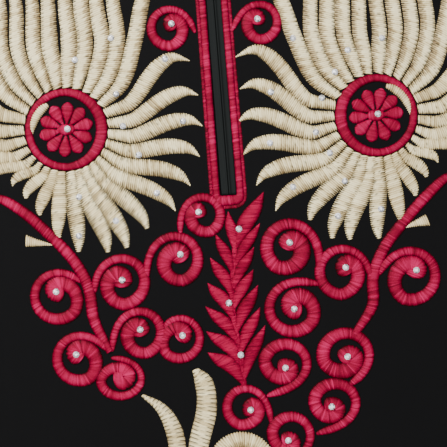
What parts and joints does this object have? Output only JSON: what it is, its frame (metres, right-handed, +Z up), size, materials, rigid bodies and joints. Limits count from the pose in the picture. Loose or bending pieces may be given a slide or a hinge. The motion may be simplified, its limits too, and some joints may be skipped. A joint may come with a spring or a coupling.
{
  "type": "abaya",
  "caption": "Long-sleeved black abaya laid flat, with a zipped chest slit, a stitched border and raised crimson and cream flower, scroll and leaf embroidery.",
  "frame": {"origin": "centre of the garment's bounding box at its underside, on the surface it lies on", "axes": "+Y from the hem to the neck, +X to the viewer's right, +Z up from the surface through the front"},
  "size_m": [1.3556, 1.4193, 0.0065],
  "materials": {
    "black_crepe": "matt black crepe",
    "crimson_thread": "soft sheen of crimson embroidery thread",
    "cream_thread": "soft sheen of cream embroidery thread",
    "bronze_thread": "soft sheen of golden brown thread",
    "zip_tape": "matt woven tape",
    "black_metal": "black enamel",
    "rhinestone": "faceted clear glass with a silvered back"
  },
  "bodies": {
    "garment": {"back_panel": "black_crepe", "blade_left": "cream_thread", "blade_right": "cream_thread", "flower_crescent_left": "cream_thread", "flower_crescent_right": "cream_thread", "flower_floret_left": "crimson_thread", "flower_floret_right": "crimson_thread", "flower_petals_left": "cream_thread", "flower_petals_right": "cream_thread", "flower_ring_left": "crimson_thread", "flower_ring_right": "crimson_thread", "front_panel": "black_crepe", "leaf_spray": "crimson_thread", "neck_binding_back": "black_crepe", "neck_binding_left": "black_crepe", "neck_binding_right": "black_crepe", "rosette": "cream_thread", "rosette_eye": "bronze_thread", "scroll_left_1": "crimson_thread", "scroll_left_2": "crimson_thread", "scroll_left_3": "crimson_thread", "scroll_left_4": "crimson_thread", "scroll_left_5": "crimson_thread", "scroll_left_6": "crimson_thread", "scroll_left_7": "crimson_thread", "scroll_left_8": "crimson_thread", "scroll_left_9": "crimson_thread", "scroll_right_1": "crimson_thread", "scroll_right_10": "crimson_thread", "scroll_right_2": "crimson_thread", "scroll_right_3": "crimson_thread", "scroll_right_4": "crimson_thread", "scroll_right_5": "crimson_thread", "scroll_right_6": "crimson_thread", "scroll_right_7": "crimson_thread", "scroll_right_8": "crimson_thread", "scroll_right_9": "crimson_thread", "sleeve_left": "black_crepe", "sleeve_right": "black_crepe", "slit_border": "crimson_thread", "vine_left": "crimson_thread", "vine_right": "crimson_thread", "zip_slider": "black_metal", "zip_tape_left": "zip_tape", "zip_tape_right": "zip_tape"},
    "pull": {"zip_pull": "black_metal"}
  },
  "joints": [
    {"name": "pull_flip", "type": "hinge", "parent": "garment", "child": "pull", "pos_m": [0, 0.611, 0.005], "axis": [-1, 0, 0], "range_deg": [0, 175]}
  ]
}
